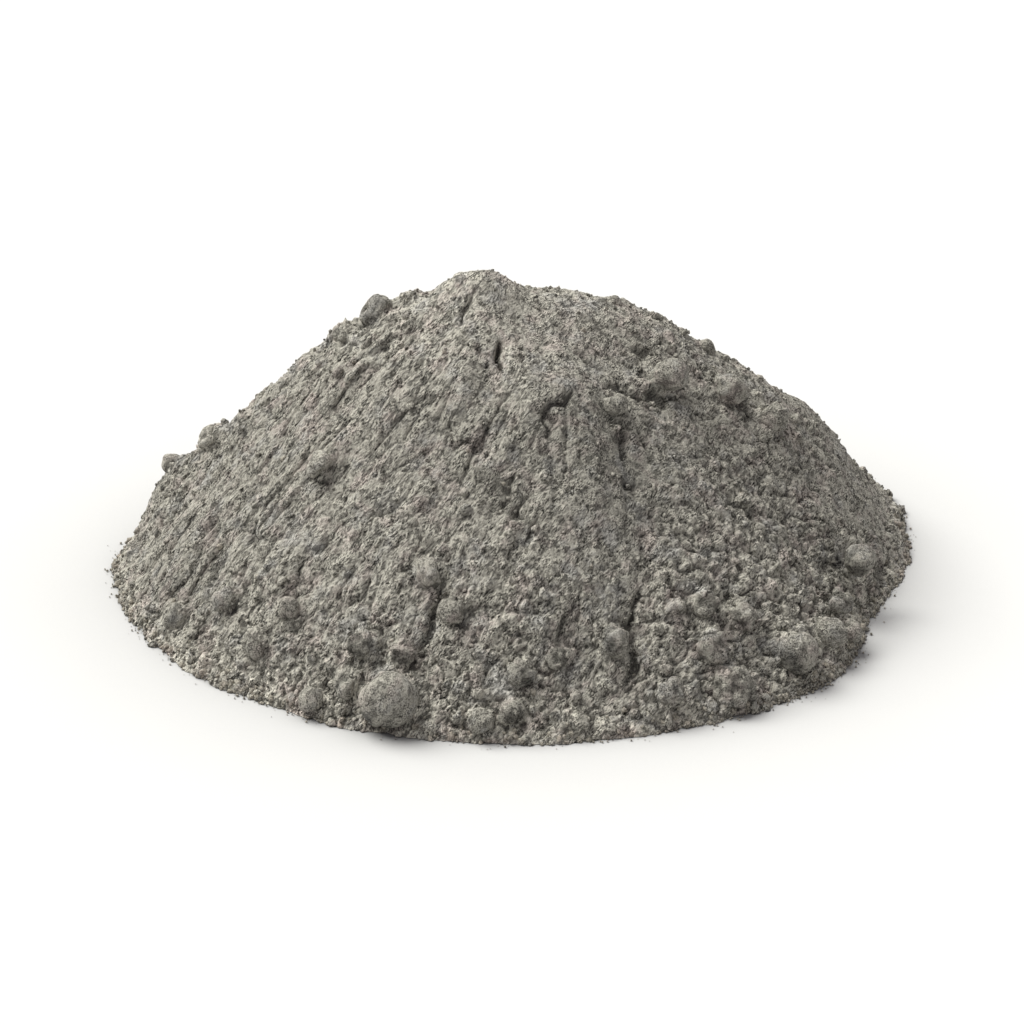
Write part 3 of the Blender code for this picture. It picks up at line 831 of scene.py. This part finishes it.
evenGrain = {
    "drawnShare": 0.2,
    "smoothGrain": (0.64, 1.18, 0.5),
    "roughGrain": (0.25, 1.38, 0.9),
    "paintedPoreShade": 0.55,
    "poreDepth": 0.2,
}
toeColours = {
    "grey": (0.312, 0.290, 0.244),
    "rosy": (0.320, 0.280, 0.242),
    "cool": (0.300, 0.284, 0.250),
}
loosePowder = powderMaterial("loosePowder", powderColours, 1.21, 1.0)
toePowder = powderMaterial("toePowder", {**powderColours, **evenGrain, **toeColours}, 1.2, 0.5)
cakedPowder = powderMaterial("cakedPowder", {**powderColours, **evenGrain}, 1.16, 1.0)
ballPowder = powderMaterial("ballPowder", {**powderColours, **evenGrain}, 1.20, 0.8)

slotOf = {row["node"]: row["material_slot"] for row in frame["record"]["subparts"]}
lumpNames = [name for name, slot in slotOf.items() if slot != "loose_powder"]

skinPoints, skinWayOut, skinToneAndPaintedLight = skinSurface(powderSkin)
skinNormals = gridNormals(skinPoints)
skinCavity = cavityOf(skinPoints, skinNormals)
half = powderSkin["cells"] // 2
nearRows, farRows = slice(0, half + 1), slice(half, None)
addSkinQuarter("powder_skin_front_left", nearRows, nearRows)
addSkinQuarter("powder_skin_front_right", nearRows, farRows)
addSkinQuarter("powder_skin_back_left", farRows, nearRows)
addSkinQuarter("powder_skin_back_right", farRows, farRows)
print("skin made:", 2 * powderSkin["cells"] ** 2, "triangles")

# Caked lumps: how finely each is divided and how rough it is. Lengths are in mm.
lumpLook = {
    "levels": 2,
    "swell": 1.035,  # makes up for what the subdivision draws in
    "ball": ((5.0, 0.60, 2), (1.8, 0.26, 2)),  # spacing, height and octaves of its noises
    "lump": ((4.5, 1.30, 2), (2.0, 0.55, 2)),
    "seed": 61,
    "lowest": 0.2,
    # Partly their own paler powder, partly painted light on lumps whose seen faces the light leaves dark.
    "paler": {  # the tone of the lumps that are paler than the rest
        "left_middle_lump": 1.4,
        "left_edge_ball": 2.4,
        "left_ridge_lump": 1.8,
        "left_ridge_small_lump": 1.8,
    },
}


def lumpSurface(name, look):
    # The frame's lump, its corners merged and twice subdivided, swollen about its middle, then moved
    # along its normals by noise of two sizes. The second value is that noise in mm.
    source = bmesh.new()
    source.from_mesh(frame["nodes"][name].data)
    bmesh.ops.remove_doubles(source, verts=source.verts, dist=0.01 * mm)
    rough = bpy.data.meshes.new(name + "_rough")
    source.to_mesh(rough)
    source.free()
    holder = bpy.data.objects.new(name + "_rough", rough)
    bpy.context.scene.collection.objects.link(holder)
    divided = holder.modifiers.new("divided", "SUBSURF")
    divided.levels = look["levels"]
    divided.render_levels = look["levels"]
    graph = bpy.context.evaluated_depsgraph_get()
    fine = bpy.data.meshes.new_from_object(holder.evaluated_get(graph))
    bpy.data.objects.remove(holder)
    points = np.empty(len(fine.vertices) * 3)
    fine.vertices.foreach_get("co", points)
    normals = np.empty_like(points)
    fine.vertices.foreach_get("normal", normals)
    points, normals = points.reshape(-1, 3), normals.reshape(-1, 3)
    middle = points.mean(0)
    points = middle + (points - middle) * look["swell"]
    height = 0
    for spacing, depth, octaves in look["ball" if slotOf[name] == "caked_ball" else "lump"]:
        height = height + depth * mm * roughNoise(points, spacing * mm, octaves, look["seed"])
    points = points + normals * height[:, None]
    points[:, 2] = np.maximum(points[:, 2], look["lowest"] * mm)
    fine.vertices.foreach_set("co", points.ravel())
    fine.update()
    fine.shade_smooth()
    return fine, height / mm


def addLump(name):
    # Its noise is also its cavity value, from which the material paints shade into its hollows.
    fine, height = lumpSurface(name, lumpLook)
    fine.materials.clear()
    fine.materials.append(ballPowder if slotOf[name] == "caked_ball" else cakedPowder)
    addValues(fine, {"cavity": height, "tone": np.full(len(height), lumpLook["paler"].get(name, 0))})
    piece = bpy.data.objects.new(name + "_caked", fine)
    bpy.context.scene.collection.objects.link(piece)
    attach(piece, "root")
    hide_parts(name)


for lumpName in lumpNames:
    addLump(lumpName)
print("lumps made:", len(lumpNames))

# Loose crumbs, each kind one joined mesh. Sizes are diameters in mm, lift is how far a crumb's middle
# stands off the skin as a share of its radius, and toe and coarse are how much denser they lie there.
looseCrumbs = {
    "toe_crumbs": {"count": 800, "size": (0.9, 2.4), "lift": (-0.2, 0.3),
                   "toe": 400, "coarse": 0, "finer": 2, "seed": 70},
    "coarse_crumbs": {"count": 500, "size": (1.8, 3.8), "lift": (-0.4, 0.3),
                      "toe": 4, "coarse": 8, "finer": 2, "seed": 74},
    "small_crumbs": {"count": 6000, "size": (0.8, 1.8), "lift": (-0.3, 0.5),
                     "toe": 6, "coarse": 2, "finer": 1, "seed": 72},
}
crumbForm = {
    "dents": 0.17,  # how uneven the corners are, as a share of the radius
    "sides": (0.68, 1.12),
    "toeWidth": 0.02,  # a share of the way out
    "lowest": 0.02,
    "cavity": 0.1,
}


def crumbTemplate(finer):
    # The corners and triangles of an icosahedron of radius 1, divided finer - 1 times.
    ball = bmesh.new()
    bmesh.ops.create_icosphere(ball, subdivisions=finer, radius=1)
    points = np.array([vertex.co[:] for vertex in ball.verts])
    faces = np.array([[vertex.index for vertex in face.verts] for face in ball.faces])
    ball.free()
    return points, faces


def randomTurns(rng, count):
    # Rotation matrices from random unit quaternions.
    w, x, y, z = unit(rng.normal(0, 1, (count, 4))).T
    rows = (
        (1 - 2 * (y * y + z * z), 2 * (x * y - w * z), 2 * (x * z + w * y)),
        (2 * (x * y + w * z), 1 - 2 * (x * x + z * z), 2 * (y * z - w * x)),
        (2 * (x * z - w * y), 2 * (y * z + w * x), 1 - 2 * (x * x + y * y)),
    )
    return np.moveaxis(np.array(rows), -1, 0)


def crumbCloud(seats, up, radius, lift, finer, rng):
    # Every crumb is a small ball, dented at each corner, stretched by its own three sides, turned at
    # random and set on its seat, its middle lift times its radius above it.
    template, faces = crumbTemplate(finer)
    count = len(seats)
    shape = template[None] * (1 + rng.normal(0, crumbForm["dents"], (count, len(template), 1)))
    shape = shape * rng.uniform(*crumbForm["sides"], (count, 1, 3))
    shape = np.einsum("nij,nvj->nvi", randomTurns(rng, count), shape) * radius[:, None, None]
    points = shape + (seats + up * (radius * lift)[:, None])[:, None]
    faces = faces[None] + (np.arange(count) * len(template))[:, None, None]
    tone = np.repeat(rng.uniform(-1, 1, count), len(template))
    return points.reshape(-1, 3), faces.reshape(-1, 3), tone


def addCrumbs(name, row):
    # Seats are drawn by area times 1 + toe exp(-((1 - s) / toeWidth)^2) + coarse times the coarseness,
    # and with u random from 0 to 1 a size is low + (high - low) u^2.
    rng = np.random.default_rng(row["seed"])
    coarse = coarseness(skinPoints[..., 0], skinPoints[..., 1], skinWayOut)
    toe = bell((1 - skinWayOut) / crumbForm["toeWidth"])
    weight = cellArea(skinPoints) * (1 + row["toe"] * toe + row["coarse"] * coarse)
    seats = drawSeats(rng, weight, row["count"])
    low, high = row["size"]
    radius = (low + (high - low) * rng.uniform(0, 1, row["count"]) ** 2) * mm / 2
    lift = rng.uniform(*row["lift"], row["count"])
    places, up = skinPoints[seats], skinNormals[seats]
    points, faces, tone = crumbCloud(places, up, radius, lift, row["finer"], rng)
    points[:, 2] = np.maximum(points[:, 2], crumbForm["lowest"] * mm)
    powder = toePowder if name == "toe_crumbs" else loosePowder
    cavity = np.full(len(points), crumbForm["cavity"])
    piece = meshObject(name, points, faces, powder, {"tone": tone, "cavity": cavity})
    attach(piece, "root")
    print(name, "made:", len(faces), "triangles")


for crumbName, crumbRow in looseCrumbs.items():
    addCrumbs(crumbName, crumbRow)

# Grains on the floor just outside the toe, thickest at the front right. Sizes are diameters in mm.
toeGrains = {
    "count": 1800,
    "size": (0.30, 1.1),
    "inside": 1.0,  # how far inside the toe they start
    "spread": 1.0,
    "farthest": 14,
    "shrink": 9,  # the distance out over which they get smaller
    "seat": 0.6,  # the height of the middle, as a share of the radius
    "lowest": 0.01,
    "seed": 81,
    "thick": ((-38, 14, 3.0), (-60, 12, 1.5), (181, 8, 1.5)),  # bearing, spread and how much more
}


def addToeGrains(form):
    # The distance outside the toe falls off as an exponential of the spread, and the bearing is drawn
    # from an even share plus bell curves at the thick places. With u random from 0 to 1, a size is
    # (low + (high - low) u^3) exp(-out / shrink).
    rng = np.random.default_rng(form["seed"])
    bearings = np.radians(np.arange(0, 360, 1.0))
    weight = np.ones(bearings.shape)
    for middle, width, height in form["thick"]:
        weight = weight + height * nearBearing(bearings, middle, width)
    count = form["count"]
    bearing = rng.choice(bearings, count, p=weight / weight.sum())
    bearing = bearing + np.radians(rng.uniform(-0.5, 0.5, count))
    out = rng.exponential(form["spread"], count) - form["inside"]
    out = np.minimum(out, form["farthest"]) * mm
    low, high = form["size"]
    radius = (low + (high - low) * rng.uniform(0, 1, count) ** 3) * mm / 2
    radius = radius * np.exp(-np.maximum(out, 0) / (form["shrink"] * mm))
    x, y = fromCrown(toeAt(bearing) + out, bearing)
    seats = np.stack((x, y, radius * form["seat"]), axis=-1)
    up = np.tile((0, 0, 1.0), (count, 1))
    points, faces, tone = crumbCloud(seats, up, radius, np.zeros(count), 1, rng)
    points[:, 2] = np.maximum(points[:, 2], form["lowest"] * mm)
    cavity = np.full(len(points), crumbForm["cavity"])
    grains = meshObject("toe_grains", points, faces, toePowder, {"tone": tone, "cavity": cavity})
    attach(grains, "root")


addToeGrains(toeGrains)
print("toe grains made")

# The studio: a white floor with a painted contact shadow round the heap, a white sky and one wide
# soft light from the upper left.
studio = {
    "floorSize": 10,
    "floorDrop": 0.15,
    "floorWhite": 0.585,
    "contactReach": 60,
    "contactShade": 0.9,
    "sky": 0.44,
    "skyColour": (1.0, 0.97, 0.99),
    "keyStrength": 5.25,
    "keyColour": (1.0, 0.995, 0.945),
    "keyFrom": (-0.50, 0.28, 0.82),
    "keyAngle": 48,
}


def addStudio(form):
    half, low = form["floorSize"] / 2, -form["floorDrop"] * mm
    corners = [(-half, -half, low), (half, -half, low), (half, half, low), (-half, half, low)]
    white = bpy.data.materials.new("whiteFloor")
    white.use_nodes = True
    shader = white.node_tree.nodes["Principled BSDF"]
    # Painted contact shadow: the floor's colour is painted darker round the heap, white times 1 less the
    # shade's strength for each part of the near view upwards that the heap blocks.
    contact = white.node_tree.nodes.new("ShaderNodeAmbientOcclusion")
    contact.inputs["Distance"].default_value = form["contactReach"] * mm
    shade = white.node_tree.nodes.new("ShaderNodeMapRange")
    shade.inputs["From Min"].default_value = 1 - 1 / form["contactShade"]
    shade.inputs["To Max"].default_value = form["floorWhite"]
    white.node_tree.links.new(contact.outputs["AO"], shade.inputs["Value"])
    white.node_tree.links.new(shade.outputs["Result"], shader.inputs["Base Color"])
    shader.inputs["Roughness"].default_value = 1.0
    shader.inputs["Specular IOR Level"].default_value = 0.0
    floor = meshObject("floor", corners, [(0, 1, 2, 3)], white, {})
    world = bpy.data.worlds.new("studioSky")
    world.use_nodes = True
    world.node_tree.nodes["Background"].inputs["Color"].default_value = (*form["skyColour"], 1)
    world.node_tree.nodes["Background"].inputs["Strength"].default_value = form["sky"]
    bpy.context.scene.world = world
    key = bpy.data.lights.new("keyLight", "SUN")
    key.energy = form["keyStrength"]
    key.color = form["keyColour"]
    key.angle = np.radians(form["keyAngle"])
    lamp = bpy.data.objects.new("keyLight", key)
    lamp.rotation_euler = Vector(form["keyFrom"]).to_track_quat("Z", "Y").to_euler()
    bpy.context.scene.collection.objects.link(lamp)
    bpy.context.scene.view_settings.view_transform = "Standard"


addStudio(studio)
print("studio made")
